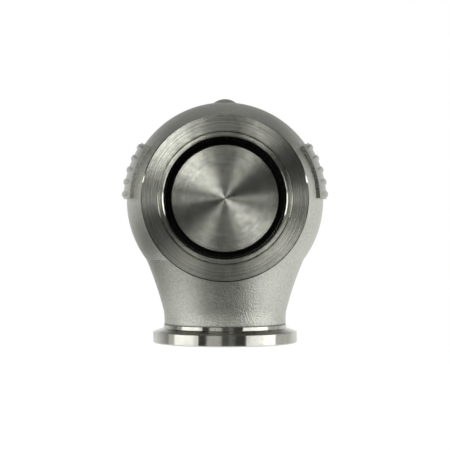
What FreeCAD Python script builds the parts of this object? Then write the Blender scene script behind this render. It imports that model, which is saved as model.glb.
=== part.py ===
import FreeCAD, Part
import math
import os
from types import SimpleNamespace

import Sketcher

# External turbo wastegate for a 44 mm valve, millimetres, +Z up.
# The origin is the centre of the outlet flange's mating face.  The outlet bore runs along Z and the
# valve axis along Y: exhaust enters at the inlet flange on -Y, the actuator sits on +Y.
# Every piece but the outlet neck is turned about the valve axis, so each body's own frame has its
# origin at the centre of the inlet flange's face and its Y axis along the valve axis.

SIZES = {
    # The valve axis over the outlet face, and the inlet face in front of the outlet axis.
    "axis_height": 54.0,
    "inlet_reach": 38.0,
    # Cast valve body; its rear face lies behind the outlet axis.
    "shell_radius": 37.5,
    "shell_wall": 3.8,
    "rear_reach": 36.0,
    "flange_edge": 0.4,
    "inlet_flange_radius": 30.0,
    "inlet_rim_length": 4.2,
    "inlet_cone_length": 1.46,
    "inlet_hub_radius": 26.0,
    "outlet_flange_radius": 27.5,
    "outlet_rim_length": 4.15,
    "outlet_cone_length": 1.45,
    "outlet_hub_radius": 23.5,
    "outlet_hub_length": 1.3,
    "neck_radius": 23.15,
    "neck_straight_height": 9.3,
    "neck_root_radius": 23.8,
    "neck_root_height": 13.6,
    "neck_root_arc": 15.0,
    "neck_top_radius": 28.7,
    "neck_top_height": 28.4,
    "neck_blend_height": 3.6,
    "neck_blend_inset": 0.15,
    "neck_flare_arc": 140.0,
    "outlet_bore_radius": 20.0,
    "outlet_bore_length": 12.0,
    "outlet_throat_radius": 25.3,
    "rear_flange_radius": 30.5,
    "rear_flange_length": 8.0,
    "rear_web_radius": 25.0,
    "guide_boss_radius": 12.0,
    "guide_boss_tip_radius": 8.4,
    "guide_boss_root_length": 10.0,
    "throat_clearance": 0.5,
    "throat_length": 1.2,
    "flare_radius": 25.9,
    "flare_length": 4.4,
    # Cast pads on the two flanks, with plain raised ribs, and the round boss on top.
    "pad_angle": 17.8,
    "pad_sweep": 33.6,
    "pad_half_length": 16.0,
    "pad_proud": 1.3,
    "pad_root_radius": 30.0,
    "rib_count": 5,
    "rib_angle": 3.6,
    "rib_pitch": 7.1,
    "rib_radius": 1.5,
    "rib_bend_inset": 8.0,
    "rib_sweep": 60.0,
    "rib_proud": 0.7,
    "top_boss_radius": 4.7,
    "top_boss_proud": 1.4,
    "top_boss_dome": 7.0,
    "top_boss_root": 3.0,
    # Seat ring, a slip fit in the inlet flange.
    "seat_bore_radius": 22.0,
    "seat_ring_radius": 23.75,
    "seat_ring_fit": 0.12,
    "seat_pocket_edge": 0.12,
    "seat_ring_length": 10.85,
    "seat_ring_recess": 0.1,
    "seat_edge": 0.4,
    "seat_lip_height": 0.7,
    "seat_lip_land": 0.6,
    "seat_face_width": 1.65,
    # Poppet valve.
    "valve_clearance": 0.14,
    "valve_nose_radius": 19.5,
    "valve_nose_height": 3.4,
    "valve_nose_taper": 0.7,
    "valve_nose_edge": 0.35,
    "valve_relief": 0.65,
    "valve_face_width": 1.74,
    "valve_margin": 0.9,
    "valve_back_bevel": 0.7,
    "tulip_radius": 9.0,
    "tulip_height": 3.4,
    "tulip_length": 12.0,
    "tulip_arc": 14.0,
    "stem_radius": 4.0,
    "stem_thread_radius": 3.0,
    "stem_end_chamfer": 0.5,
    "stem_end_proud": 1.2,
    # Valve guide, a bronze bush pressed into the rear of the body.
    "guide_length": 24.0,
    "guide_radius": 6.5,
    "running_fit": 0.03,
    "guide_chamfer": 0.5,
    # Insulating gasket between the hot body and the actuator.
    "gasket_thickness": 1.0,
    "gasket_bore_radius": 5.2,
    # Actuator base.
    "base_length": 23.6,
    "base_floor": 9.0,
    "housing_flange_width": 10.5,
    "base_foot_length": 3.5,
    "base_rim_length": 12.0,
    "base_wall": 2.1,
    "base_fin_count": 2,
    "base_fin_inset": 3.5,
    "base_fin_thickness": 1.6,
    "base_fin_gap": 2.1,
    "housing_radius": 37.0,
    "housing_edge": 0.8,
    "scraper_pocket_radius": 7.0,
    "scraper_pocket_depth": 2.2,
    "scraper_gap": 0.05,
    "seal_bore_radius": 6.0,
    "seal_lip_length": 0.8,
    "stem_hole_gap": 0.3,
    "seal_ring_radius": 0.95,
    "seal_gap": 0.05,
    # Pressure ports, drilled for a 1/8 inch taper thread.
    "port_radius": 4.35,
    "port_depth_back": 7.0,
    "port_face_radius": 7.0,
    "port_face_cut": 0.9,
    "plug_length": 7.5,
    "plug_gap": 0.05,
    "plug_socket_radius": 2.9,
    "plug_socket_depth": 4.0,
    # Screws that hold the base to the body, under the diaphragm.
    "base_screw_count": 4,
    "base_screw_inset": 5.1,
    "base_screw_angle": 45.0,
    "base_screw_radius": 2.5,
    "base_screw_head_radius": 4.25,
    "base_screw_head_length": 4.6,
    "base_screw_head_sink": 0.3,
    "base_screw_thread_length": 7.4,
    "base_screw_tap_depth": 8.2,
    "base_washer_thickness": 0.8,
    "screw_hole_gap": 0.25,
    "thread_gap": 0.05,
    "counterbore_gap": 0.35,
    "base_screw_socket_radius": 2.3,
    "base_screw_socket_depth": 2.4,
    "screw_head_chamfer": 0.4,
    # Dowel that sets the angle of the base.
    "dowel_radius": 1.5,
    "dowel_inset": 4.5,
    "dowel_body_depth": 3.0,
    "dowel_base_depth": 3.0,
    "dowel_end_gap": 0.2,
    # Plates and diaphragm on the stem.
    "plate_floor_gap": 0.6,
    "lower_plate_thickness": 1.5,
    "plate_edge": 0.5,
    "stem_bore_gap": 0.05,
    "stem_ring_radius": 0.6,
    "diaphragm_thickness": 1.2,
    "diaphragm_roll_width": 6.9,
    "diaphragm_wall_gap": 0.6,
    "cup_thickness": 2.0,
    "plate_inset": 0.6,
    "cup_wall": 1.5,
    "cup_height": 6.0,
    "cup_edge": 1.0,
    "cup_ring_radius": 12.1,
    "cup_ring_inner_radius": 11.2,
    "stem_washer_radius": 6.2,
    "stem_washer_thickness": 1.0,
    "lock_nut_radius": 5.7,
    "lock_nut_length": 5.0,
    # Actuator cap.
    "cap_rim_length": 4.0,
    "cap_wall": 2.6,
    "cap_bore_inset": 0.3,
    "cap_inner_length": 22.6,
    "cap_roof": 4.0,
    "cap_edge": 2.4,
    "cap_boss_radius": 7.6,
    "cap_boss_length": 5.0,
    "cap_boss_edge": 0.6,
    "cap_land_radius": 11.5,
    "cap_land_proud": 1.0,
    "cap_groove_below": 4.4,
    "cap_groove_length": 2.2,
    "cap_groove_cut": 0.9,
    "spring_shim_thickness": 0.8,
    "spring_shim_inset": 1.0,
    "spring_shim_bore_radius": 7.9,
    # Screws round the cap.
    "cap_screw_count": 6,
    "cap_screw_inset": 4.3,
    "cap_screw_angle": 30.0,
    "cap_screw_radius": 2.0,
    "cap_screw_head_radius": 3.4,
    "cap_screw_head_length": 3.6,
    "cap_screw_thread_length": 6.5,
    "cap_screw_tap_depth": 8.0,
    "cap_washer_thickness": 0.6,
    "cap_washer_radius": 3.7,
    "cap_screw_socket_radius": 1.75,
    "cap_screw_socket_depth": 2.0,
    # Springs.
    "outer_spring_gap": 1.3,
    "outer_spring_wire_radius": 1.4,
    "outer_spring_turns": 5.5,
    "inner_spring_radius": 9.6,
    "inner_spring_wire_radius": 1.1,
    "inner_spring_turns": 7.0,
    "spring_end_gap": 0.05,
}

doc = FreeCAD.newDocument("TurboWastegate")
sheet = doc.addObject("Spreadsheet::Sheet", "Sizes")


class Size:
    # A number together with the spreadsheet expression that gives it.
    def __init__(self, value, text):
        self.value = value
        self.text = text

    def __add__(self, other):
        return combined(self, "+", other, self.value + number(other))

    def __radd__(self, other):
        return combined(other, "+", self, number(other) + self.value)

    def __sub__(self, other):
        return combined(self, "-", other, self.value - number(other))

    def __rsub__(self, other):
        return combined(other, "-", self, number(other) - self.value)

    def __mul__(self, other):
        return combined(self, "*", other, self.value * number(other))

    def __rmul__(self, other):
        return combined(other, "*", self, number(other) * self.value)

    def __truediv__(self, other):
        return combined(self, "/", other, self.value / number(other))

    def __neg__(self):
        return Size(-self.value, f"(0 - {self.text})")


def number(size):
    return size.value if isinstance(size, Size) else float(size)


def text(size):
    return size.text if isinstance(size, Size) else f"{float(size):g}"


def combined(left, sign, right, value):
    return Size(value, f"({text(left)} {sign} {text(right)})")


def root(size):
    return Size(math.sqrt(size.value), f"sqrt({size.text})")


def cosine(angle):
    return Size(math.cos(math.radians(angle.value)), f"cos({angle.text})")


def sine(angle):
    return Size(math.sin(math.radians(angle.value)), f"sin({angle.text})")


def fill_sheet():
    for row, (alias, value) in enumerate(SIZES.items(), start=1):
        sheet.set(f"A{row}", alias.replace("_", " "))
        sheet.set(f"B{row}", str(value))
        sheet.setAlias(f"B{row}", alias)
    doc.recompute()
    return SimpleNamespace(**{alias: Size(float(sheet.get(alias)), f"Sizes.{alias}")
                              for alias in SIZES})


s = fill_sheet()


# Building blocks ----------------------------------------------------------------------------------

def new_body(label, turn=None):
    body = doc.addObject("PartDesign::Body", label)
    body.Label = label
    body.AllowCompound = True
    body.Placement = FreeCAD.Placement(FreeCAD.Vector(0, 0, 0),
                                       FreeCAD.Rotation(FreeCAD.Vector(0, -1, 0), 1))
    body.setExpression("Placement.Base.y", text(-s.inlet_reach))
    body.setExpression("Placement.Base.z", text(s.axis_height))
    body.setExpression("Placement.Rotation.Angle", text(turn or 0))
    return body


def origin_feature(body, role):
    return next(part for part in body.Origin.OriginFeatures if part.Role == role)


def attach(feature, body, plane, offset):
    feature.AttachmentSupport = [(origin_feature(body, plane), "")]
    feature.MapMode = "FlatFace"
    for axis, distance in zip("xyz", offset):
        feature.setExpression(f"AttachmentOffset.Base.{axis}", text(distance))


def pin(sketch, kind, edge, vertex, size):
    index = sketch.addConstraint(Sketcher.Constraint(kind, -1, 1, edge, vertex, number(size)))
    sketch.setExpression(f"Constraints[{index}]", text(size))


def arc_between(start, end, radius):
    # The short arc from start to end; it turns left for a positive radius, right for a negative one.
    middle = (start + end) / 2
    chord = end - start
    left = FreeCAD.Vector(-chord.y, chord.x, 0).normalize()
    rise = math.sqrt(radius * radius - chord.Length * chord.Length / 4)
    centre = middle + left * math.copysign(rise, radius)
    first, last = (start, end) if radius > 0 else (end, start)
    circle = Part.Circle(centre, FreeCAD.Vector(0, 0, 1), abs(radius))
    angles = [math.atan2(point.y - centre.y, point.x - centre.x) for point in (first, last)]
    return Part.ArcOfCircle(circle, angles[0], angles[1])


def outline(body, name, points, plane="XY_Plane", offset=(0, 0, 0)):
    # A closed outline of corners (x, y); a third value makes the edge that ends there an arc.
    sketch = body.newObject("Sketcher::SketchObject", name)
    attach(sketch, body, plane, offset)
    count = len(points)
    corners = [FreeCAD.Vector(number(point[0]), number(point[1]), 0) for point in points]
    ends = []
    for index in range(count):
        start, end = corners[index], corners[(index + 1) % count]
        arc = points[(index + 1) % count][2:]
        if arc:
            sketch.addGeometry(arc_between(start, end, number(arc[0])), False)
            ends.append((1, 2) if number(arc[0]) > 0 else (2, 1))
            radius = arc[0] if number(arc[0]) > 0 else -arc[0]
            place = sketch.addConstraint(Sketcher.Constraint("Radius", index, number(radius)))
            sketch.setExpression(f"Constraints[{place}]", text(radius))
        else:
            sketch.addGeometry(Part.LineSegment(start, end), False)
            ends.append((1, 2))
    for index in range(count):
        after = (index + 1) % count
        sketch.addConstraint(Sketcher.Constraint("Coincident", index, ends[index][1],
                                                 after, ends[after][0]))
        pin(sketch, "DistanceX", index, ends[index][0], points[index][0])
        pin(sketch, "DistanceY", index, ends[index][0], points[index][1])
    return sketch


def wire_section(body, name, plane, offset, centre, radius):
    # A circle about (x, y), the section of a round bar.
    section = body.newObject("Sketcher::SketchObject", name)
    attach(section, body, plane, offset)
    middle = FreeCAD.Vector(number(centre[0]), number(centre[1]), 0)
    section.addGeometry(Part.Circle(middle, FreeCAD.Vector(0, 0, 1), number(radius)), False)
    pin(section, "DistanceX", 0, 3, centre[0])
    pin(section, "DistanceY", 0, 3, centre[1])
    index = section.addConstraint(Sketcher.Constraint("Radius", 0, number(radius)))
    section.setExpression(f"Constraints[{index}]", text(radius))
    return section


def turn_profile(sketch, axis, angle):
    # Turns an attached sketch about an axis of its plane's own frame.
    base = sketch.AttachmentOffset.Base
    sketch.AttachmentOffset = FreeCAD.Placement(base, FreeCAD.Rotation(axis, 1))
    sketch.setExpression("AttachmentOffset.Rotation.Angle", text(angle))


def turned(body, name, points, cut=False, plane="XY_Plane", offset=(0, 0, 0)):
    # A full turn of an outline of (radius, distance along the axis).
    sketch = outline(body, name + "Outline", points, plane, offset)
    kind = "PartDesign::Groove" if cut else "PartDesign::Revolution"
    feature = body.newObject(kind, name)
    feature.Profile = sketch
    feature.ReferenceAxis = (sketch, ["V_Axis"])
    feature.Angle = 360
    return feature


def bored(body, name, radius, start, end):
    return turned(body, name, [(0, start), (radius, start), (radius, end), (0, end)], cut=True)


def drilled(body, name, plane, offset, radius, depth):
    # A round hole from a point of an origin plane, along that plane's normal.
    hole = body.newObject("PartDesign::SubtractiveCylinder", name)
    attach(hole, body, plane, offset)
    hole.setExpression("Radius", text(radius))
    hole.setExpression("Height", text(depth))
    return hole


def hexagon(body, name, kind, plane, offset, radius, depth):
    prism = body.newObject(f"PartDesign::{kind}Prism", name)
    attach(prism, body, plane, offset)
    prism.Polygon = 6
    prism.setExpression("Circumradius", text(radius))
    prism.setExpression("Height", text(depth))
    return prism


def repeated(body, name, features, count):
    pattern = body.newObject("PartDesign::PolarPattern", name)
    pattern.Originals = features
    pattern.Axis = (origin_feature(body, "Y_Axis"), [""])
    pattern.Angle = 360
    pattern.setExpression("Occurrences", text(count))
    body.Tip = pattern
    return pattern


def from_rear(circle, angle, along):
    # A point of the XZ plane at a pitch circle and angle, its normal pointing to the inlet.
    return (circle * cosine(angle), circle * sine(angle), -along)


# Stations along the valve axis, counted from the inlet face ---------------------------------------

body_length = s.inlet_reach + s.rear_reach
shell_front = s.inlet_reach - root(s.shell_radius * s.shell_radius
                                   - s.inlet_hub_radius * s.inlet_hub_radius)
shell_back = s.inlet_reach + root(s.shell_radius * s.shell_radius
                                  - s.rear_web_radius * s.rear_web_radius)
seat_pocket_depth = s.seat_ring_recess + s.seat_ring_length + s.seat_ring_fit
seat_pocket_radius = s.seat_ring_radius + s.seat_ring_fit
seat_back = s.seat_ring_recess + s.seat_ring_length
seat_lip_radius = s.seat_bore_radius - s.seat_lip_height
seat_lip_end = seat_back - s.seat_face_width
seat_face_radius = seat_lip_radius + s.seat_face_width

valve_face_start = seat_lip_end + s.valve_clearance - s.valve_relief / 2
valve_face_inner = seat_lip_radius - s.valve_relief / 2
valve_margin_start = valve_face_start + s.valve_face_width
valve_radius = valve_face_inner + s.valve_face_width
throat_radius = valve_radius + s.throat_clearance
throat_end = seat_pocket_depth + s.throat_length

guide_start = body_length - s.guide_length
guide_bore_radius = s.stem_radius + s.running_fit
base_start = body_length + s.gasket_thickness
floor_top = base_start + s.base_floor
base_end = base_start + s.base_length
rim_start = base_end - s.base_rim_length

shoulder = floor_top + s.plate_floor_gap
plate_top = shoulder + s.lower_plate_thickness
diaphragm_top = plate_top + s.diaphragm_thickness
cup_floor = diaphragm_top + s.cup_thickness
washer_top = cup_floor + s.stem_washer_thickness
nut_top = washer_top + s.lock_nut_length
stem_end = nut_top + s.stem_end_proud

cap_start = base_end + s.diaphragm_thickness
cap_rim_top = cap_start + s.cap_rim_length
cap_roof_start = cap_start + s.cap_inner_length
cap_end = cap_roof_start + s.cap_roof
spring_top = cap_roof_start - s.spring_shim_thickness

cavity_radius = s.housing_radius - s.housing_flange_width
base_root_radius = cavity_radius + s.base_wall
base_fin_radius = s.housing_radius - s.base_fin_inset
base_screw_circle = cavity_radius - s.base_screw_inset
dowel_circle = s.rear_flange_radius - s.dowel_inset
diaphragm_flat_radius = cavity_radius - s.diaphragm_roll_width
plate_radius = diaphragm_flat_radius - s.plate_inset
cap_bore_radius = cavity_radius - s.cap_bore_inset
cap_wall_radius = cap_bore_radius + s.cap_wall
cap_screw_circle = s.housing_radius - s.cap_screw_inset
outer_spring_radius = plate_radius - s.cup_wall - s.outer_spring_gap - s.outer_spring_wire_radius

port_along = base_end - s.port_depth_back
port_face = s.housing_radius - s.port_face_cut
counterbore_radius = s.base_screw_head_radius + s.counterbore_gap
counterbore_depth = s.base_screw_head_length + s.base_screw_head_sink + s.base_washer_thickness
screw_seat = floor_top - counterbore_depth


# Hot side -----------------------------------------------------------------------------------------

def add_pad(body):
    # A patch of constant height on the shell, swept about the valve axis.
    radius = s.shell_radius + s.pad_proud
    edge = root(radius * radius - s.pad_half_length * s.pad_half_length)
    sketch = outline(body, "PadOutline", [
        (s.pad_root_radius, s.inlet_reach - s.pad_half_length),
        (edge, s.inlet_reach - s.pad_half_length),
        (edge, s.inlet_reach + s.pad_half_length, radius),
        (s.pad_root_radius, s.inlet_reach + s.pad_half_length),
    ])
    turn_profile(sketch, FreeCAD.Vector(0, -1, 0), s.pad_angle)
    pad = body.newObject("PartDesign::Revolution", "Pad")
    pad.Profile = sketch
    pad.ReferenceAxis = (sketch, ["V_Axis"])
    pad.Midplane = True
    pad.setExpression("Angle", text(s.pad_sweep))
    return pad


def add_rib(body, index):
    # A round rib along the valve axis, bent more than the shell so that its ends run into the pad.
    angle = s.rib_angle + index * s.rib_pitch
    bend_radius = s.shell_radius + s.pad_proud + s.rib_proud - s.rib_radius - s.rib_bend_inset
    offset = (s.rib_bend_inset * cosine(angle), s.rib_bend_inset * sine(angle), -s.inlet_reach)
    section = wire_section(body, f"Rib{index + 1}Section", "XZ_Plane", offset, (bend_radius, 0),
                           s.rib_radius)
    turn_profile(section, FreeCAD.Vector(0, 0, 1), angle)
    rib = body.newObject("PartDesign::Revolution", f"Rib{index + 1}")
    rib.Profile = section
    rib.ReferenceAxis = (section, ["V_Axis"])
    rib.Midplane = True
    rib.setExpression("Angle", text(s.rib_sweep))
    return rib


def add_flank_pads(body):
    features = [add_pad(body)]
    features += [add_rib(body, index) for index in range(int(s.rib_count.value))]
    mirrored = body.newObject("PartDesign::Mirrored", "OtherFlank")
    mirrored.Originals = features
    mirrored.MirrorPlane = (origin_feature(body, "YZ_Plane"), [""])
    body.Tip = mirrored


def make_valve_body():
    body = new_body("valve_body")
    turned(body, "Shell", [
        (0, shell_front),
        (s.inlet_hub_radius, shell_front),
        (s.rear_web_radius, shell_back, s.shell_radius),
        (0, shell_back),
    ])
    turned(body, "InletFlange", [
        (0, 0),
        (s.inlet_flange_radius - s.flange_edge, 0),
        (s.inlet_flange_radius, s.flange_edge),
        (s.inlet_flange_radius, s.inlet_rim_length),
        (s.inlet_hub_radius, s.inlet_rim_length + s.inlet_cone_length),
        (s.inlet_hub_radius, s.inlet_reach),
        (0, s.inlet_reach),
    ])
    rear_flange_start = body_length - s.rear_flange_length
    turned(body, "RearFlange", [
        (0, s.inlet_reach),
        (s.rear_web_radius, s.inlet_reach),
        (s.rear_web_radius, rear_flange_start),
        (s.rear_flange_radius - s.flange_edge, rear_flange_start),
        (s.rear_flange_radius, rear_flange_start + s.flange_edge),
        (s.rear_flange_radius, body_length - s.flange_edge),
        (s.rear_flange_radius - s.flange_edge, body_length),
        (0, body_length),
    ])
    outlet = (0, -s.axis_height, -s.inlet_reach)
    blend_top = s.neck_top_height + s.neck_blend_height
    shell_below = s.axis_height - blend_top
    hub_start = s.outlet_rim_length + s.outlet_cone_length
    turned(body, "OutletNeck", [
        (0, 0),
        (s.outlet_flange_radius - s.flange_edge, 0),
        (s.outlet_flange_radius, s.flange_edge),
        (s.outlet_flange_radius, s.outlet_rim_length),
        (s.outlet_hub_radius, hub_start),
        (s.outlet_hub_radius, hub_start + s.outlet_hub_length),
        (s.neck_radius, hub_start + s.outlet_hub_length),
        (s.neck_radius, s.neck_straight_height),
        (s.neck_root_radius, s.neck_root_height, -s.neck_root_arc),
        (s.neck_top_radius, s.neck_top_height, -s.neck_flare_arc),
        (root(s.shell_radius * s.shell_radius - shell_below * shell_below) - s.neck_blend_inset,
         blend_top),
        (0, s.axis_height),
    ], plane="XZ_Plane", offset=outlet)
    shell_top = s.axis_height + s.shell_radius
    turned(body, "TopBoss", [
        (0, shell_top - s.top_boss_root),
        (s.top_boss_radius, shell_top - s.top_boss_root),
        (s.top_boss_radius, shell_top + s.top_boss_proud - s.top_boss_dome
         + root(s.top_boss_dome * s.top_boss_dome - s.top_boss_radius * s.top_boss_radius)),
        (0, shell_top + s.top_boss_proud, s.top_boss_dome),
    ], plane="XZ_Plane", offset=outlet)
    add_flank_pads(body)

    chamber = body.newObject("PartDesign::SubtractiveSphere", "Chamber")
    attach(chamber, body, "XZ_Plane", (0, 0, -s.inlet_reach))
    chamber.setExpression("Radius", text(s.shell_radius - s.shell_wall))
    turned(body, "GuideBoss", [
        (0, guide_start),
        (s.guide_boss_tip_radius, guide_start),
        (s.guide_boss_radius, guide_start + s.guide_boss_root_length),
        (s.rear_web_radius, rear_flange_start + s.flange_edge),
        (s.rear_web_radius, body_length),
        (0, body_length),
    ])
    turned(body, "InletBore", [
        (0, 0),
        (seat_pocket_radius + s.seat_pocket_edge, 0),
        (seat_pocket_radius, s.seat_pocket_edge),
        (seat_pocket_radius, seat_pocket_depth),
        (throat_radius, seat_pocket_depth),
        (throat_radius, throat_end),
        (s.flare_radius, throat_end + s.flare_length),
        (0, throat_end + s.flare_length),
    ], cut=True)
    turned(body, "OutletBore", [
        (0, 0),
        (s.outlet_bore_radius, 0),
        (s.outlet_bore_radius, s.outlet_bore_length),
        (s.outlet_throat_radius, s.neck_top_height),
        (0, s.axis_height - s.stem_radius),
    ], cut=True, plane="XZ_Plane", offset=outlet)
    bored(body, "GuideBore", s.guide_radius, guide_start, body_length)
    tapped = drilled(body, "TappedHole", "XZ_Plane",
                     from_rear(base_screw_circle, s.base_screw_angle, body_length),
                     s.base_screw_radius + s.thread_gap, s.base_screw_tap_depth)
    repeated(body, "TappedHoles", [tapped], s.base_screw_count)
    drilled(body, "DowelHole", "XZ_Plane", (0, dowel_circle, -body_length),
            s.dowel_radius, s.dowel_body_depth)
    return body


def make_seat_ring():
    body = new_body("seat_ring")
    front = s.seat_ring_recess
    turned(body, "Ring", [
        (s.seat_bore_radius + s.seat_edge, front),
        (s.seat_ring_radius - s.seat_edge, front),
        (s.seat_ring_radius, front + s.seat_edge),
        (s.seat_ring_radius, seat_back),
        (seat_face_radius, seat_back),
        (seat_lip_radius, seat_lip_end),
        (seat_lip_radius, seat_lip_end - s.seat_lip_land),
        (s.seat_bore_radius, seat_lip_end - s.seat_lip_land - s.seat_lip_height),
        (s.seat_bore_radius, front + s.seat_edge),
    ])
    return body


def make_valve():
    body = new_body("valve")
    nose = valve_face_start - s.valve_nose_height
    margin_end = valve_margin_start + s.valve_margin
    back = margin_end + s.valve_back_bevel
    turned(body, "Poppet", [
        (0, nose),
        (s.valve_nose_radius - s.valve_nose_edge, nose),
        (s.valve_nose_radius, nose + s.valve_nose_edge),
        (s.valve_nose_radius + s.valve_nose_taper, valve_face_start),
        (valve_face_inner, valve_face_start),
        (valve_radius, valve_margin_start),
        (valve_radius, margin_end),
        (valve_radius - s.valve_back_bevel, back),
        (s.tulip_radius, back + s.tulip_height),
        (s.stem_radius, back + s.tulip_length, -s.tulip_arc),
        (s.stem_radius, shoulder),
        (s.stem_thread_radius, shoulder),
        (s.stem_thread_radius, stem_end - s.stem_end_chamfer),
        (s.stem_thread_radius - s.stem_end_chamfer, stem_end),
        (0, stem_end),
    ])
    return body


def make_valve_guide():
    body = new_body("valve_guide")
    turned(body, "Bush", [
        (guide_bore_radius, guide_start),
        (s.guide_radius - s.guide_chamfer, guide_start),
        (s.guide_radius, guide_start + s.guide_chamfer),
        (s.guide_radius, body_length),
        (guide_bore_radius, body_length),
    ])
    return body


def make_gasket():
    body = new_body("insulating_gasket")
    turned(body, "Sheet", [
        (s.gasket_bore_radius, body_length),
        (s.rear_flange_radius, body_length),
        (s.rear_flange_radius, base_start),
        (s.gasket_bore_radius, base_start),
    ])
    hole = drilled(body, "ScrewHole", "XZ_Plane",
                   from_rear(base_screw_circle, s.base_screw_angle, base_start),
                   s.base_screw_radius + s.screw_hole_gap, s.gasket_thickness)
    repeated(body, "ScrewHoles", [hole], s.base_screw_count)
    drilled(body, "DowelHole", "XZ_Plane", (0, dowel_circle, -base_start),
            s.dowel_radius + s.screw_hole_gap, s.gasket_thickness)
    return body


def make_dowel():
    body = new_body("alignment_dowel")
    start = body_length - s.dowel_body_depth + s.dowel_end_gap
    length = s.dowel_body_depth + s.gasket_thickness + s.dowel_base_depth - s.dowel_end_gap * 2
    pin_body = body.newObject("PartDesign::AdditiveCylinder", "Pin")
    attach(pin_body, body, "XZ_Plane", (0, dowel_circle, -(start + length)))
    pin_body.setExpression("Radius", text(s.dowel_radius))
    pin_body.setExpression("Height", text(length))
    return body


# Actuator -----------------------------------------------------------------------------------------

def fin_outline():
    # The base's outer side from its foot to its rim, with cooling fins in between.
    points = []
    start = base_start + s.base_foot_length
    for index in range(int(s.base_fin_count.value)):
        fin = start + s.base_fin_gap + index * (s.base_fin_gap + s.base_fin_thickness)
        points += [
            (base_root_radius, fin),
            (base_fin_radius, fin),
            (base_fin_radius, fin + s.base_fin_thickness),
            (base_root_radius, fin + s.base_fin_thickness),
        ]
    return [(base_root_radius, start)] + points + [(base_root_radius, rim_start)]


def make_actuator_base():
    body = new_body("actuator_base")
    turned(body, "Casting", [
        (0, base_start),
        (s.rear_flange_radius, base_start),
        (s.rear_flange_radius, base_start + s.base_foot_length),
    ] + fin_outline() + [
        (s.housing_radius - s.housing_edge, rim_start),
        (s.housing_radius, rim_start + s.housing_edge),
        (s.housing_radius, base_end),
        (0, base_end),
    ])
    bored(body, "Cavity", cavity_radius, floor_top, base_end)
    seal_start = base_start + s.scraper_pocket_depth
    bored(body, "ScraperPocket", s.scraper_pocket_radius, base_start, seal_start)
    bored(body, "SealBore", s.seal_bore_radius, seal_start, floor_top - s.seal_lip_length)
    bored(body, "StemHole", s.stem_radius + s.stem_hole_gap, floor_top - s.seal_lip_length, floor_top)

    hole = drilled(body, "ScrewHole", "XZ_Plane",
                   from_rear(base_screw_circle, s.base_screw_angle, floor_top),
                   s.base_screw_radius + s.screw_hole_gap, s.base_floor)
    counterbore = drilled(body, "Counterbore", "XZ_Plane",
                          from_rear(base_screw_circle, s.base_screw_angle, floor_top),
                          counterbore_radius, counterbore_depth)
    repeated(body, "ScrewHoles", [hole, counterbore], s.base_screw_count)
    drilled(body, "DowelHole", "XZ_Plane", (0, dowel_circle, -(base_start + s.dowel_base_depth)),
            s.dowel_radius, s.dowel_base_depth)
    tapped = drilled(body, "CapTappedHole", "XZ_Plane",
                     from_rear(cap_screw_circle, s.cap_screw_angle, base_end),
                     s.cap_screw_radius + s.thread_gap, s.cap_screw_tap_depth)
    repeated(body, "CapTappedHoles", [tapped], s.cap_screw_count)

    # Two pressure ports, one to each side, each with a flat spot face.
    face = drilled(body, "PortFace", "YZ_Plane", (port_along, 0, port_face),
                   s.port_face_radius, s.port_face_cut)
    port = drilled(body, "Port", "YZ_Plane", (port_along, 0, 0), s.port_radius, s.housing_radius)
    mirrored = body.newObject("PartDesign::Mirrored", "OtherPort")
    mirrored.Originals = [face, port]
    mirrored.MirrorPlane = (origin_feature(body, "YZ_Plane"), [""])
    body.Tip = mirrored
    return body


def make_port_plug():
    body = new_body("base_port_plug")
    plug = body.newObject("PartDesign::AdditiveCylinder", "Plug")
    attach(plug, body, "YZ_Plane", (port_along, 0, -port_face))
    plug.setExpression("Radius", text(s.port_radius - s.plug_gap))
    plug.setExpression("Height", text(s.plug_length))
    hexagon(body, "Socket", "Subtractive", "YZ_Plane", (port_along, 0, -port_face),
            s.plug_socket_radius, s.plug_socket_depth)
    return body


def make_ring(label, inner, outer, start, end, edge=None):
    # A plain ring on the valve axis, its outer edges bevelled where an edge size is given.
    body = new_body(label)
    if edge is None:
        points = [(inner, start), (outer, start), (outer, end), (inner, end)]
    else:
        points = [(inner, start), (outer - edge, start), (outer, start + edge),
                  (outer, end - edge), (outer - edge, end), (inner, end)]
    turned(body, "Ring", points)
    return body


def make_round_ring(label, centre_radius, section_radius, centre):
    # An O-ring on the valve axis.
    body = new_body(label)
    ring = body.newObject("PartDesign::AdditiveTorus", "Ring")
    attach(ring, body, "XZ_Plane", (0, 0, -centre))
    ring.setExpression("Radius1", text(centre_radius))
    ring.setExpression("Radius2", text(section_radius))
    return body


def make_diaphragm():
    body = new_body("diaphragm")
    thickness = s.diaphragm_thickness
    wall_radius = cavity_radius - s.diaphragm_wall_gap
    turned(body, "Moulding", [
        (s.stem_thread_radius + s.stem_ring_radius, plate_top),
        (diaphragm_flat_radius, plate_top),
        (wall_radius, base_end - thickness),
        (cavity_radius, base_end),
        (s.housing_radius, base_end),
        (s.housing_radius, cap_start),
        (cavity_radius - thickness, cap_start),
        (wall_radius - thickness, base_end),
        (diaphragm_flat_radius - thickness / 2, diaphragm_top),
        (s.stem_thread_radius + s.stem_ring_radius, diaphragm_top),
    ])
    hole = drilled(body, "ScrewHole", "XZ_Plane",
                   from_rear(cap_screw_circle, s.cap_screw_angle, cap_start),
                   s.cap_screw_radius + s.screw_hole_gap, thickness)
    repeated(body, "ScrewHoles", [hole], s.cap_screw_count)
    return body


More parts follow.
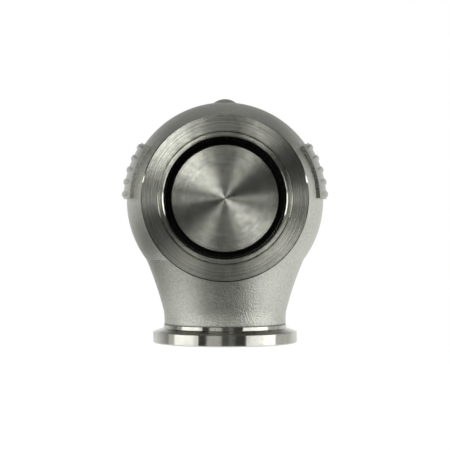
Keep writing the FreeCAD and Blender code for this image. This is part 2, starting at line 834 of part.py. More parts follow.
def make_spring_cup():
    body = new_body("spring_cup")
    turned(body, "Cup", [
        (s.stem_thread_radius + s.stem_bore_gap, diaphragm_top),
        (plate_radius - s.cup_edge, diaphragm_top),
        (plate_radius, diaphragm_top + s.cup_edge),
        (plate_radius, diaphragm_top + s.cup_height),
        (plate_radius - s.cup_wall, diaphragm_top + s.cup_height),
        (plate_radius - s.cup_wall, cup_floor),
        (s.cup_ring_radius, cup_floor),
        (s.cup_ring_radius, washer_top),
        (s.cup_ring_inner_radius, washer_top),
        (s.cup_ring_inner_radius, cup_floor),
        (s.stem_thread_radius + s.stem_bore_gap, cup_floor),
    ])
    return body


def make_lock_nut():
    body = new_body("stem_lock_nut")
    hexagon(body, "Hexagon", "Additive", "XZ_Plane", (0, 0, -nut_top),
            s.lock_nut_radius, s.lock_nut_length)
    bored(body, "Thread", s.stem_thread_radius + s.stem_bore_gap, washer_top, nut_top)
    return body


def make_spring(label, radius, wire_radius, turns):
    # A compression spring between the cup and the cap's shim, its two ends ground flat.
    body = new_body(label)
    start = cup_floor + s.spring_end_gap
    end = spring_top - s.spring_end_gap
    section = wire_section(body, "WireSection", "XY_Plane", (0, 0, 0), (radius, start), wire_radius)
    doc.recompute()
    coil = body.newObject("PartDesign::AdditiveHelix", "Coil")
    coil.Profile = section
    coil.ReferenceAxis = (section, ["V_Axis"])
    coil.Mode = "height-turns-growth"
    coil.setExpression("Height", text(end - start))
    coil.setExpression("Turns", text(turns))
    reach = radius + wire_radius * 2
    for name, low, high in (("LowerFlat", start - wire_radius * 2, start),
                            ("UpperFlat", end, end + wire_radius * 2)):
        bored(body, name, reach, low, high)
    return body


def make_cap():
    body = new_body("actuator_cap")
    groove_start = cap_roof_start - s.cap_groove_below
    turned(body, "Cover", [
        (0, cap_start),
        (s.housing_radius, cap_start),
        (s.housing_radius, cap_rim_top - s.housing_edge),
        (s.housing_radius - s.housing_edge, cap_rim_top),
        (cap_wall_radius, cap_rim_top),
        (cap_wall_radius, groove_start),
        (cap_wall_radius - s.cap_groove_cut, groove_start),
        (cap_wall_radius - s.cap_groove_cut, groove_start + s.cap_groove_length),
        (cap_wall_radius, groove_start + s.cap_groove_length),
        (cap_wall_radius, cap_end - s.cap_edge),
        (cap_wall_radius - s.cap_edge, cap_end, s.cap_edge),
        (s.cap_land_radius, cap_end),
        (s.cap_land_radius - s.cap_land_proud, cap_end + s.cap_land_proud),
        (0, cap_end + s.cap_land_proud),
    ])
    bored(body, "SpringRoom", cap_bore_radius, cap_start, cap_roof_start)
    turned(body, "InnerBoss", [
        (0, cap_roof_start - s.cap_boss_length),
        (s.cap_boss_radius - s.cap_boss_edge, cap_roof_start - s.cap_boss_length),
        (s.cap_boss_radius, cap_roof_start - s.cap_boss_length + s.cap_boss_edge),
        (s.cap_boss_radius, cap_roof_start),
        (0, cap_roof_start),
    ])
    bored(body, "CapPort", s.port_radius, cap_roof_start - s.cap_boss_length,
          cap_end + s.cap_land_proud)
    hole = drilled(body, "ScrewHole", "XZ_Plane",
                   from_rear(cap_screw_circle, s.cap_screw_angle, cap_rim_top),
                   s.cap_screw_radius + s.screw_hole_gap, s.cap_rim_length)
    repeated(body, "ScrewHoles", [hole], s.cap_screw_count)
    return body


def make_screws(label, angle, circle, seat, shank, head, head_length, grip, socket, socket_depth,
                count):
    # Socket head screws on a pitch circle, their heads on the seat and their points to the inlet.
    body = new_body(label, turn=angle)
    top = seat + head_length
    screw = turned(body, "Screw", [
        (0, seat - grip),
        (shank - s.screw_head_chamfer, seat - grip),
        (shank, seat - grip + s.screw_head_chamfer),
        (shank, seat),
        (head, seat),
        (head, top - s.screw_head_chamfer),
        (head - s.screw_head_chamfer, top),
        (0, top),
    ], offset=(circle, 0, 0))
    hexagonal = hexagon(body, "Socket", "Subtractive", "XZ_Plane", (circle, 0, -top),
                        socket, socket_depth)
    repeated(body, "Screws", [screw, hexagonal], count)
    return body


def make_washers(label, angle, circle, seat, bore, radius, thickness, count):
    body = new_body(label, turn=angle)
    washer = turned(body, "Washer", [
        (bore, seat),
        (radius, seat),
        (radius, seat + thickness),
        (bore, seat + thickness),
    ], offset=(circle, 0, 0))
    repeated(body, "Washers", [washer], count)
    return body


def make_actuator():
    bushing_start = base_start + s.scraper_pocket_depth
    seal_top = floor_top - s.seal_lip_length
    seal_start = seal_top - s.seal_ring_radius * 2 - s.seal_gap
    ring_bore = s.stem_radius + s.seal_gap
    pieces = [
        make_actuator_base(),
        make_port_plug(),
        make_ring("stem_scraper", ring_bore, s.scraper_pocket_radius - s.scraper_gap,
                  base_start + s.scraper_gap, bushing_start - s.scraper_gap),
        make_ring("base_bushing", guide_bore_radius, s.seal_bore_radius, bushing_start, seal_start),
        make_round_ring("stem_seal", ring_bore + s.seal_ring_radius, s.seal_ring_radius,
                        seal_top - s.seal_ring_radius),
        make_screws("base_screws", s.base_screw_angle, base_screw_circle,
                    screw_seat + s.base_washer_thickness, s.base_screw_radius,
                    s.base_screw_head_radius, s.base_screw_head_length,
                    screw_seat + s.base_washer_thickness - body_length
                    + s.base_screw_thread_length,
                    s.base_screw_socket_radius, s.base_screw_socket_depth, s.base_screw_count),
        make_washers("base_screw_washers", s.base_screw_angle, base_screw_circle, screw_seat,
                     s.base_screw_radius + s.thread_gap, s.base_screw_head_radius,
                     s.base_washer_thickness, s.base_screw_count),
        make_ring("lower_plate", s.stem_thread_radius + s.stem_bore_gap, plate_radius,
                  shoulder, plate_top, s.plate_edge),
        make_round_ring("stem_ring", s.stem_thread_radius + s.stem_ring_radius / 2,
                        s.stem_ring_radius / 2, plate_top + s.stem_ring_radius),
        make_diaphragm(),
        make_spring_cup(),
        make_ring("stem_washer", s.stem_thread_radius + s.stem_bore_gap, s.stem_washer_radius,
                  cup_floor, washer_top),
        make_lock_nut(),
        make_spring("outer_spring", outer_spring_radius, s.outer_spring_wire_radius,
                    s.outer_spring_turns),
        make_spring("inner_spring", s.inner_spring_radius, s.inner_spring_wire_radius,
                    s.inner_spring_turns),
        make_ring("spring_shim", s.spring_shim_bore_radius, plate_radius - s.spring_shim_inset,
                  spring_top, cap_roof_start),
        make_cap(),
        make_screws("cap_screws", s.cap_screw_angle, cap_screw_circle,
                    cap_rim_top + s.cap_washer_thickness, s.cap_screw_radius,
                    s.cap_screw_head_radius, s.cap_screw_head_length,
                    s.cap_rim_length + s.cap_washer_thickness + s.diaphragm_thickness
                    + s.cap_screw_thread_length,
                    s.cap_screw_socket_radius, s.cap_screw_socket_depth, s.cap_screw_count),
        make_washers("cap_screw_washers", s.cap_screw_angle, cap_screw_circle, cap_rim_top,
                     s.cap_screw_radius + s.thread_gap, s.cap_washer_radius,
                     s.cap_washer_thickness, s.cap_screw_count),
    ]
    return pieces


def check_document(pieces):
    doc.recompute()
    for item in doc.Objects:
        if "Invalid" in item.State or "Error" in item.State:
            raise RuntimeError(f"{item.Name} failed: {item.State}")
    for piece in pieces:
        if piece.Shape.isNull() or not piece.Shape.isValid():
            raise RuntimeError(f"{piece.Label} has no valid shape")


def main():
    pieces = [make_valve_body(), make_seat_ring(), make_valve(), make_valve_guide(), make_gasket(),
              make_dowel()]
    pieces += make_actuator()
    check_document(pieces)
    os.makedirs("parts", exist_ok=True)
    for piece in pieces:
        piece.Shape.exportStep(f"parts/{piece.Label}.step")
        box = piece.Shape.BoundBox
        print(f"{piece.Label}: {len(piece.Shape.Solids)} solid, {piece.Shape.Volume:.1f} mm3, "
              f"Y {box.YMin:.2f} to {box.YMax:.2f}, Z {box.ZMin:.2f} to {box.ZMax:.2f}")


main()
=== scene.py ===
import math

import bmesh
import bpy
from mathutils import Matrix, Vector


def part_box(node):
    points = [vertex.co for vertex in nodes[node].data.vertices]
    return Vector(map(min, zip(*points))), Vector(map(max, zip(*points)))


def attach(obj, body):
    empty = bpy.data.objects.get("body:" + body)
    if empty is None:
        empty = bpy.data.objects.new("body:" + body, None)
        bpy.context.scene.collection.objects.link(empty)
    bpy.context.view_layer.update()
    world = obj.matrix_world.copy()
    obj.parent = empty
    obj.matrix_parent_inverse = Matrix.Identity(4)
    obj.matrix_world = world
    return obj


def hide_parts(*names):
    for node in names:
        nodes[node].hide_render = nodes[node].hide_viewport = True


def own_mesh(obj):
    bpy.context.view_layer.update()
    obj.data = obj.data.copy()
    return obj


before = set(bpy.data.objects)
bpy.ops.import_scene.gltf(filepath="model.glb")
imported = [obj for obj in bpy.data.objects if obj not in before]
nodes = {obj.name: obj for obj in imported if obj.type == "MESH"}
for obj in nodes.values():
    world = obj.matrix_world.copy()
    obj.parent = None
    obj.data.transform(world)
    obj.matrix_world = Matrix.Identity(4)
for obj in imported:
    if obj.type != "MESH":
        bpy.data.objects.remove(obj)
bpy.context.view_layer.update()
print("frame loaded:", len(nodes), "pieces")

mm = 0.001

# Where things are, read from the solids.
ringLow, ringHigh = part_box("seat_ring")
bodyLow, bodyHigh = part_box("valve_body")
valveAxis = Vector((0, 0, (ringLow.z + ringHigh.z) / 2))
alongValve = (0, 1, 0)
outletAxis = Vector((0, 0, 0))
alongOutlet = (0, 0, 1)
inletFace = bodyLow.y
rearFace = bodyHigh.y


def linearColor(hexText):
    channels = [int(hexText[i:i + 2], 16) / 255 for i in (0, 2, 4)]
    return [c / 12.92 if c <= 0.04045 else ((c + 0.055) / 1.055) ** 2.4 for c in channels] + [1.0]


def setInputs(tree, node, inputs):
    for name, value in inputs.items():
        if isinstance(value, bpy.types.NodeSocket):
            tree.links.new(value, node.inputs[name])
        else:
            node.inputs[name].default_value = value


def addNode(tree, kind, inputs=None, **settings):
    node = tree.nodes.new(kind)
    for name, value in settings.items():
        setattr(node, name, value)
    setInputs(tree, node, inputs or {})
    return node


def calculated(tree, operation, *values):
    return addNode(tree, "ShaderNodeMath", dict(enumerate(values)),
                   operation=operation).outputs[0]


def vectorCalculated(tree, operation, *values):
    node = addNode(tree, "ShaderNodeVectorMath", dict(enumerate(values)), operation=operation)
    return node.outputs["Value" if operation in ("DOT_PRODUCT", "LENGTH") else "Vector"]


def ranged(tree, value, span, low, high):
    # The span is stretched to run from low to high, and the value is held beyond its ends.
    return addNode(tree, "ShaderNodeMapRange",
                   {"Value": value, "From Min": span[0], "From Max": span[1],
                    "To Min": low, "To Max": high}).outputs["Result"]


def noise(tree, place, size, detail, roughness=0.5):
    # Its lumps are about size mm across.
    return addNode(tree, "ShaderNodeTexNoise",
                   {"Vector": place, "Scale": 1 / (size * mm), "Detail": detail,
                    "Roughness": roughness}).outputs["Fac"]


def bandNoise(tree, reach, size, detail, roughness=0.5):
    # It changes along reach only, in bands about size mm wide.
    return addNode(tree, "ShaderNodeTexNoise",
                   {"W": reach, "Scale": 1 / (size * mm), "Detail": detail,
                    "Roughness": roughness}, noise_dimensions="1D").outputs["Fac"]


def bumped(tree, height, depth, over=None):
    # Relief of depth mm, laid over another relief if one is given.
    inputs = {"Height": height, "Distance": depth * mm}
    if over is not None:
        inputs["Normal"] = over
    return addNode(tree, "ShaderNodeBump", inputs).outputs["Normal"]


def twoColors(tree, share, color, otherColor):
    # Sockets 6 and 7 take the two colours, and output 2 gives the colour between them.
    return addNode(tree, "ShaderNodeMix",
                   {"Factor": share, 6: linearColor(color), 7: linearColor(otherColor)},
                   data_type="RGBA").outputs[2]


def scaled(tree, color, *factors):
    # The colour, made darker by each factor in turn.
    for factor in factors:
        color = addNode(tree, "ShaderNodeVectorMath", {0: color, "Scale": factor},
                        operation="SCALE").outputs[0]
    return color


def emptyMaterial(name):
    material = bpy.data.materials.new(name)
    material.use_nodes = True
    material.node_tree.nodes.clear()
    return material, material.node_tree


def newMaterial(name):
    material, tree = emptyMaterial(name)
    shader = addNode(tree, "ShaderNodeBsdfPrincipled")
    addNode(tree, "ShaderNodeOutputMaterial", {"Surface": shader.outputs["BSDF"]})
    place = addNode(tree, "ShaderNodeTexCoord").outputs["Object"]
    return material, tree, shader, place


# Where the casting's finishes meet, in mm.
outletFlange = {"coneTop": 5.55, "rimTop": 4.05, "hubTop": 6.9, "boreTop": 12.05,
                "boreRadius": 20.1}
inletFlange = {"length": 11.0, "edgeFrom": 28.8, "edgeDepth": 0.6, "shadeBelow": 6.0,
               "boreEdge": 25.0}
rearFlange = {"length": 8.02}
flankPads = {"shellRadius": 37.5, "proud": 0.03, "fromMiddle": 25.0, "halfLength": 16.2}

# Stainless steel, investment cast and bead blasted: matt grey, a fine satin grain of blast marks
# over a faint orange-peel skin, a little darker in patches, with painted shade in the pits and in
# the corner above the outlet's hub.
castStainless = {
    "color": "dcddd3",
    "patchColor": "cacbc1",
    "roughness": 0.4,
    "roughSpan": (0.3, 0.7),  # of the grain
    "roughSpread": 0.06,
    "patch": 14,  # mm
    "grain": 0.58,  # mm between blast marks, drawn coarser than real so that they show
    "grainDepth": 0.27,  # mm
    "speckleAndPitShade": 0.3,  # how much darker the pits between the marks are: the blast marks' speckled tone, and painted shade in their hollows
    "pitSpan": (0.3, 0.6),  # of the grain
    "skin": 2.6,  # mm, the orange peel of the shell mould
    "skinDepth": 0.05,  # mm
    "paintedShadeHeight": 0.7,  # mm, painted shade in the corner above the outlet's turned hub
    "paintedShadeLevel": 0.1,
}

# The same casting where the raised pads are rubbed by hands and rags: darker and glossier.
rubbedStainless = {**castStainless, "color": "a9a9a1", "patchColor": "93938b",
                   "roughness": 0.3, "grainDepth": 0.02, "skinDepth": 0.02, "speckleAndPitShade": 0.1}

# Stainless steel turned on a lathe: bright, with grooves round the axis that drag the
# highlights out across them, and faint stains left by heat and handling.
turnedStainless = {
    "color": "eeefe2",
    "roughness": 0.22,
    "roughSpan": (0.3, 0.7),  # of the stains
    "roughSpread": 0.03,
    "anisotropy": 1.0,
    "groove": 0.9,  # mm between tool marks, drawn coarser than real so that they show
    "grooveDepth": 0.0014,  # mm
    "ring": 0.5,  # mm, the finer rings, drawn as tone
    "ringDepth": 0.3,  # how much darker the bottoms of the rings are
    "ringSpan": (0.3, 0.65),
    "stain": 4,  # mm
    "stainDepth": 0.32,
    "stainSpan": (0.36, 0.58),
}

# The valve's disc, turned the same way but with shallower rings, so that the beams run clear.
turnedDisc = {**turnedStainless, "roughness": 0.23, "ringDepth": 0.2}

# The outlet's flange, which a clamp and cloths keep clean: crisp bright bands.
wipedStainless = {**turnedStainless, "color": "cbcbc2", "roughness": 0.2, "ringDepth": 0.06,
                  "stainDepth": 0.08}

# The outlet's cone, which the clamp presses on: the same bands, with painted shade making it
# darker.
shadedConeStainless = {**wipedStainless, "color": "9b9b92"}

# Aluminium, turned and then clear anodised: paler than steel, its rings softened by the skin.
anodisedAluminium = {**turnedStainless, "color": "bdbdbc", "roughness": 0.33,
                     "anisotropy": 0.6, "groove": 1.1, "grooveDepth": 0.0022, "ringDepth": 0.2,
                     "stain": 18, "stainDepth": 0.15}

# Bearing bronze, bored and turned: warm yellow brown with fine rings.
bearingBronze = {**anodisedAluminium, "color": "b08d57", "roughness": 0.3, "stain": 4,
                 "stainDepth": 0.18}

# Smaller finishes: what each one is and what it gives the eye.
plainLooks = {
    # Painted shade: near black and dull, a little uneven, for the deep gap between seat and
    # valve.
    "gapShadeBlack": {"color": "141413", "roughness": 0.7, "metallic": 0.6, "grain": 0.3,
                  "depth": 0.004, "mottle": 3, "mottleDepth": 0.35},
    # Painted shade on the lower part of the inlet flange's front chamfer: a thin dark line.
    "shadedFlangeEdge": {"color": "5b5b55", "roughness": 0.36, "metallic": 1.0, "grain": 0.5,
                  "depth": 0.003, "mottle": 2, "mottleDepth": 0.25},
    # Pressed mineral fibre board: dull, flecked, no highlight.
    "mineralFibreBoard": {"color": "6d6a62", "roughness": 0.85, "metallic": 0.0, "grain": 0.5,
                          "depth": 0.03, "mottle": 1.4, "mottleDepth": 0.3},
    # Shot-peened chrome silicon spring wire with a film of oil: dark, with a broken highlight.
    "peenedSpringWire": {"color": "6c6c6e", "roughness": 0.3, "metallic": 1.0, "grain": 0.4,
                         "depth": 0.01, "mottle": 4, "mottleDepth": 0.2},
    # Cold-headed stainless screws, washers and nuts: smooth, bright, slightly mottled.
    "headedStainless": {"color": "b3b3b1", "roughness": 0.26, "metallic": 1.0, "grain": 0.35,
                        "depth": 0.004, "mottle": 1.8, "mottleDepth": 0.16},
    # Fluorocarbon seal rubber, moulded: black with a low satin sheen.
    "mouldedSealRubber": {"color": "1c1b1a", "roughness": 0.5, "metallic": 0.0, "grain": 0.25,
                          "depth": 0.008, "mottle": 2.5, "mottleDepth": 0.2},
}
plainRoughSpread = 0.08
mottleSpan = (0.35, 0.6)

# Silicone rubber moulded over woven aramid cloth: red brown, the threads just show through.
clothRubber = {
    "color": "5a2a1e",
    "threadColor": "74402f",
    "gapRoughness": 0.65,
    "threadRoughness": 0.5,
    "thread": 0.9,  # mm from thread to thread, about twice the real cloth so that it shows
    "threadDepth": 0.05,  # mm
}


def castMaterial(name, look):
    material, tree, shader, place = newMaterial(name)
    patches = noise(tree, place, look["patch"], detail=3, roughness=0.6)
    grain = noise(tree, place, look["grain"], detail=2, roughness=0.6)
    skin = noise(tree, place, look["skin"], detail=2)
    tone = twoColors(tree, patches, look["color"], look["patchColor"])
    # Speckled tone of the blast marks, with painted shade where the grain's relief is low.
    speckleAndPitShadeTone = ranged(tree, grain, look["pitSpan"], 1 - look["speckleAndPitShade"], 1.0)
    # Painted shade: the colour darkens in the corner just above the outlet's turned hub.
    height = addNode(tree, "ShaderNodeSeparateXYZ", {"Vector": place}).outputs["Z"]
    hubTop = outletFlange["hubTop"] * mm
    paintedCornerShade = ranged(tree, height, (hubTop, hubTop + look["paintedShadeHeight"] * mm),
                    look["paintedShadeLevel"], 1.0)
    waves = bumped(tree, skin, look["skinDepth"])
    setInputs(tree, shader, {
        "Base Color": scaled(tree, tone, speckleAndPitShadeTone, paintedCornerShade),
        "Roughness": ranged(tree, grain, look["roughSpan"],
                            look["roughness"] - look["roughSpread"],
                            look["roughness"] + look["roughSpread"]),
        "Metallic": 1.0,
        "Normal": bumped(tree, grain, look["grainDepth"], over=waves),
    })
    return material


def turnedMaterial(name, look, centre, axis):
    # The grooves run round the axis through centre.
    material, tree, shader, place = newMaterial(name)
    arm = vectorCalculated(tree, "SUBTRACT", place, centre)
    across = vectorCalculated(tree, "MULTIPLY", arm, [1 - abs(share) for share in axis])
    along = vectorCalculated(tree, "DOT_PRODUCT", arm, axis)
    radius = vectorCalculated(tree, "LENGTH", across)
    reach = calculated(tree, "ADD", radius, along)
    around = vectorCalculated(tree, "CROSS_PRODUCT", axis, across)
    grooves = bandNoise(tree, reach, look["groove"], detail=0)
    rings = bandNoise(tree, reach, look["ring"], detail=1, roughness=0.6)
    stains = noise(tree, place, look["stain"], detail=4, roughness=0.65)
    bottoms = ranged(tree, rings, look["ringSpan"], 1 - look["ringDepth"], 1.0)
    clean = ranged(tree, stains, look["stainSpan"], 1 - look["stainDepth"], 1.0)
    setInputs(tree, shader, {
        "Base Color": scaled(tree, linearColor(look["color"])[:3], bottoms, clean),
        "Roughness": ranged(tree, stains, look["roughSpan"],
                            look["roughness"] + look["roughSpread"],
                            look["roughness"] - look["roughSpread"]),
        "Metallic": 1.0,
        "Anisotropic": look["anisotropy"],
        "Anisotropic Rotation": 0.25,  # a quarter turn: highlights spread across the grooves
        "Normal": bumped(tree, grooves, look["grooveDepth"]),
        "Tangent": vectorCalculated(tree, "NORMALIZE", around),
    })
    return material


def plainMaterial(name):
    look = plainLooks[name]
    material, tree, shader, place = newMaterial(name)
    grain = noise(tree, place, look["grain"], detail=2)
    mottle = noise(tree, place, look["mottle"], detail=3)
    shade = ranged(tree, mottle, mottleSpan, 1 - look["mottleDepth"], 1.0)
    setInputs(tree, shader, {
        "Base Color": scaled(tree, linearColor(look["color"])[:3], shade),
        "Roughness": ranged(tree, grain, (0, 1), look["roughness"] - plainRoughSpread,
                            look["roughness"] + plainRoughSpread),
        "Metallic": look["metallic"],
        "Normal": bumped(tree, grain, look["depth"]),
    })
    return material


def clothRubberMaterial(name, look):
    # Two sets of threads cross at right angles in the diaphragm's plane.
    material, tree, shader, place = newMaterial(name)
    bandScale = 2 * math.pi / 20 / (look["thread"] * mm)  # a band texture turns 20 rad per unit
    warp, weft = (addNode(tree, "ShaderNodeTexWave", {"Vector": place, "Scale": bandScale},
                          bands_direction=direction).outputs["Fac"] for direction in ("X", "Z"))
    weave = calculated(tree, "MAXIMUM", warp, weft)
    setInputs(tree, shader, {
        "Base Color": twoColors(tree, weave, look["color"], look["threadColor"]),
        "Roughness": ranged(tree, weave, (0, 1), look["gapRoughness"],
                            look["threadRoughness"]),
        "Normal": bumped(tree, weave, look["threadDepth"]),
    })
    return material


castBody = castMaterial("castStainlessBody", castStainless)
rubbedPads = castMaterial("rubbedStainlessPads", rubbedStainless)
turnedInlet = turnedMaterial("turnedInletFlange", turnedStainless, valveAxis, alongValve)
turnedOutlet = turnedMaterial("turnedOutletFlange", wipedStainless, outletAxis, alongOutlet)
shadedCone = turnedMaterial("shadedOutletCone", shadedConeStainless, outletAxis, alongOutlet)
turnedValve = turnedMaterial("turnedValveFace", turnedDisc, valveAxis, alongValve)
aluminium = turnedMaterial("clearAnodisedAluminium", anodisedAluminium, valveAxis, alongValve)
bronze = turnedMaterial("bearingBronze", bearingBronze, valveAxis, alongValve)
gapShadeBlack = plainMaterial("gapShadeBlack")
shadedFlangeEdge = plainMaterial("shadedFlangeEdge")
gasketBoard = plainMaterial("mineralFibreBoard")
springWire = plainMaterial("peenedSpringWire")
fasteners = plainMaterial("headedStainless")
sealRubber = plainMaterial("mouldedSealRubber")
diaphragmCloth = clothRubberMaterial("siliconeOverAramidCloth", clothRubber)
castFinishes = [castBody, rubbedPads, turnedInlet, turnedOutlet, shadedCone, shadedFlangeEdge]

# The screws, washers, nut, plug, dowel and shim, which aren't listed, are headed stainless.
finishes = {
    "valve_body": castFinishes,
    "seat_ring": [turnedInlet, gapShadeBlack],
    "valve": [turnedValve, gapShadeBlack],
    "valve_guide": [bronze],
    "base_bushing": [bronze],
    "stem_scraper": [bronze],
    "insulating_gasket": [gasketBoard],
    "actuator_base": [aluminium],
    "actuator_cap": [aluminium],
    "lower_plate": [aluminium],
    "spring_cup": [aluminium],
    "diaphragm": [diaphragmCloth],
    "stem_seal": [sealRubber],
    "stem_ring": [sealRubber],
    "outer_spring": [springWire],
    "inner_spring": [springWire],
}
for name, node in nodes.items():
    node.data.materials.clear()
    for material in finishes.get(name, [fasteners]):
        node.data.materials.append(material)


# How far a face's normal points along an axis: a chamfer round the valve axis, and the top of
# the outlet's cone.
chamferFacing = (0.3, 0.9)
coneFacing = 0.5


def castingFinish(face):
    # The casting is as cast, turned about the valve axis or turned about the outlet.
    middle = face.center / mm
    onChamfer = chamferFacing[0] < abs(face.normal.y) < chamferFacing[1]
    aboveValveAxis = middle.z - valveAxis.z / mm
    fromValveAxis = math.hypot(middle.x, aboveValveAxis)
    behindInlet = middle.y - inletFace / mm
    if middle.z < outletFlange["hubTop"]:
        onCone = outletFlange["rimTop"] < middle.z < outletFlange["coneTop"]
        # Painted shade: the top of the outlet's cone takes the darker copy of the flange's
        # finish.
        return shadedCone if onCone and face.normal.z > coneFacing else turnedOutlet
    fromOutletAxis = math.hypot(middle.x, middle.y)
    if middle.z < outletFlange["boreTop"] and fromOutletAxis < outletFlange["boreRadius"]:
        return turnedOutlet
    if behindInlet < inletFlange["edgeDepth"] and fromValveAxis > inletFlange["edgeFrom"]:
        # Painted shade: the front chamfer is darkened on its lower part.
        shadedEdge = onChamfer and aboveValveAxis < inletFlange["shadeBelow"]
        return shadedFlangeEdge if shadedEdge else turnedInlet
    if behindInlet < inletFlange["length"]:
        cast = onChamfer and fromValveAxis > inletFlange["boreEdge"]
        return castBody if cast else turnedInlet
    if middle.y > rearFace / mm - rearFlange["length"]:
        return turnedInlet
    fromCentre = (middle - valveAxis / mm).length
    if (fromCentre > flankPads["shellRadius"] + flankPads["proud"]
            and abs(middle.x) > flankPads["fromMiddle"]
            and abs(middle.y) < flankPads["halfLength"]
            and aboveValveAxis > -flankPads["halfLength"]):
        return rubbedPads
    return castBody


for face in nodes["valve_body"].data.polygons:
    face.material_index = castFinishes.index(castingFinish(face))

# Painted shade blackens the seat's bore and the side of the valve's head, in the deep gap between
# them.
shadedGap = {"boreInner": 21.7, "boreOuter": 22.1, "headInner": 19.55, "headBehind": 0.5}  # mm
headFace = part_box("valve")[0].y / mm
for name in ("seat_ring", "valve"):
    for face in nodes[name].data.polygons:
        middle = face.center / mm
        radius = math.hypot(middle.x, middle.z - valveAxis.z / mm)
        if name == "seat_ring":
            dark = shadedGap["boreInner"] < radius < shadedGap["boreOuter"]
        else:
            dark = radius > shadedGap["headInner"] and middle.y > headFace + shadedGap["headBehind"]
        face.material_index = finishes[name].index(gapShadeBlack) if dark else 0
print("finishes set")


def finishPiece(name, shape, material, body, replaced):
    mesh = bpy.data.meshes.new(name)
    shape.to_mesh(mesh)
    shape.free()
    mesh.materials.append(material)
    mesh.polygons.foreach_set("use_smooth", [True] * len(mesh.polygons))
    mesh.set_sharp_from_angle(angle=math.radians(40))
    piece = bpy.data.objects.new(name, mesh)
    bpy.context.scene.collection.objects.link(piece)
    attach(piece, body)
    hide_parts(replaced)
    return piece


def squashWithLift(piece):
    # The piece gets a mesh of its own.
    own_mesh(piece)


coils = {
    "outerSpringCoil": {"node": "outer_spring", "wireRadius": 1.4, "activeTurns": 4.0},  # mm
    "innerSpringCoil": {"node": "inner_spring", "wireRadius": 1.1, "activeTurns": 5.5},
}
coilDetail = {
    "endTurns": 1.0,
    "endPitch": 1.02,  # wire diameters from turn to turn, so that the closed turns just clear
    "wireSides": 14,
    "stepsPerTurn": 40,
}


def buildCoil(name, coil):
    # Closed and ground ends: the last turn at each end lies against its neighbour, and its tip
    # is ground flat.
    low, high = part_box(coil["node"])
    wireRadius = coil["wireRadius"] * mm
    endRise = 2 * wireRadius * coilDetail["endPitch"] * coilDetail["endTurns"]
    stages = ((coilDetail["endTurns"], endRise),
              (coil["activeTurns"], high.y - low.y - 2 * endRise),
              (coilDetail["endTurns"], endRise))
    shape = bmesh.new()
    start = Matrix.Translation((high.x - wireRadius, low.y, valveAxis.z))
    section = bmesh.ops.create_circle(shape, segments=coilDetail["wireSides"],
                                      radius=wireRadius, matrix=start)
    path = section["verts"] + shape.edges[:]
    for turns, rise in stages:
        steps = round(turns * coilDetail["stepsPerTurn"])
        path = bmesh.ops.spin(shape, geom=path, cent=valveAxis, axis=alongValve,
                              dvec=(0, rise / steps, 0), angle=turns * 2 * math.pi,
                              steps=steps, use_merge=False, use_duplicate=False)["geom_last"]
    bmesh.ops.holes_fill(shape, edges=[edge for edge in shape.edges if edge.is_boundary])
    for level, outward in ((low.y, -1), (high.y, 1)):
        bmesh.ops.bisect_plane(shape, geom=shape.verts[:] + shape.edges[:] + shape.faces[:],
                               plane_co=(0, level, 0), plane_no=(0, outward, 0),
                               clear_outer=True)
        bmesh.ops.holes_fill(shape, edges=[edge for edge in shape.edges if edge.is_boundary])
    bmesh.ops.recalc_face_normals(shape, faces=shape.faces)
    piece = finishPiece(name, shape, springWire, "housing", coil["node"])
    squashWithLift(piece)


# The diaphragm in three pieces: its rim is clamped, its middle travels with the valve, and the
# roll lies between them.
roll = {
    "rimFrom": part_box("actuator_base")[1].y,
    "middleTo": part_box("spring_cup")[0].y,
    "rimRadii": (26.5 * mm, 24.7 * mm),  # outer and inner, where the roll meets the rim
    "bend": (25.9 * mm, 59.4 * mm),  # radius and place of the bend next to the rim
    "middleRadii": (20.27 * mm, 19.0 * mm),
    "steps": 120,
    "weld": 0.001 * mm,
}


def buildDiaphragmEnd(name, level, outward, body):
    # What lies beyond level is cut off, and the cut is closed.
    shape = bmesh.new()
    shape.from_mesh(nodes["diaphragm"].data)
    bmesh.ops.remove_doubles(shape, verts=shape.verts, dist=roll["weld"])
    bmesh.ops.bisect_plane(shape, geom=shape.verts[:] + shape.edges[:] + shape.faces[:],
                           dist=roll["weld"], plane_co=(0, level, 0),
                           plane_no=(0, outward, 0), clear_outer=True)
    cut = [edge for edge in shape.edges if edge.is_boundary]
    bmesh.ops.triangle_fill(shape, edges=cut, use_beauty=True, normal=alongValve)
    bmesh.ops.recalc_face_normals(shape, faces=shape.faces)
    finishPiece(name, shape, diaphragmCloth, body, "diaphragm")


def buildDiaphragmRoll():
    (rimOuter, rimInner), (middleOuter, middleInner) = roll["rimRadii"], roll["middleRadii"]
    outline = ((middleInner, roll["middleTo"]), (middleOuter, roll["middleTo"]), roll["bend"],
               (rimOuter, roll["rimFrom"]), (rimInner, roll["rimFrom"]))
    shape = bmesh.new()
    corners = [shape.verts.new((radius, place, valveAxis.z)) for radius, place in outline]
    sides = [shape.edges.new((corners[i - 1], corners[i])) for i in range(len(corners))]
    bmesh.ops.spin(shape, geom=corners + sides, cent=valveAxis, axis=alongValve,
                   angle=2 * math.pi, steps=roll["steps"], use_merge=True,
                   use_duplicate=False)
    bmesh.ops.recalc_face_normals(shape, faces=shape.faces)
    piece = finishPiece("diaphragmRoll", shape, diaphragmCloth, "housing",
                        "diaphragm")
    squashWithLift(piece)


for name, coil in coils.items():
    buildCoil(name, coil)
buildDiaphragmEnd("diaphragmRim", roll["rimFrom"], -1, "housing")
buildDiaphragmEnd("diaphragmMiddle", roll["middleTo"], 1, "valve_assembly")
buildDiaphragmRoll()
print("springs and diaphragm built")

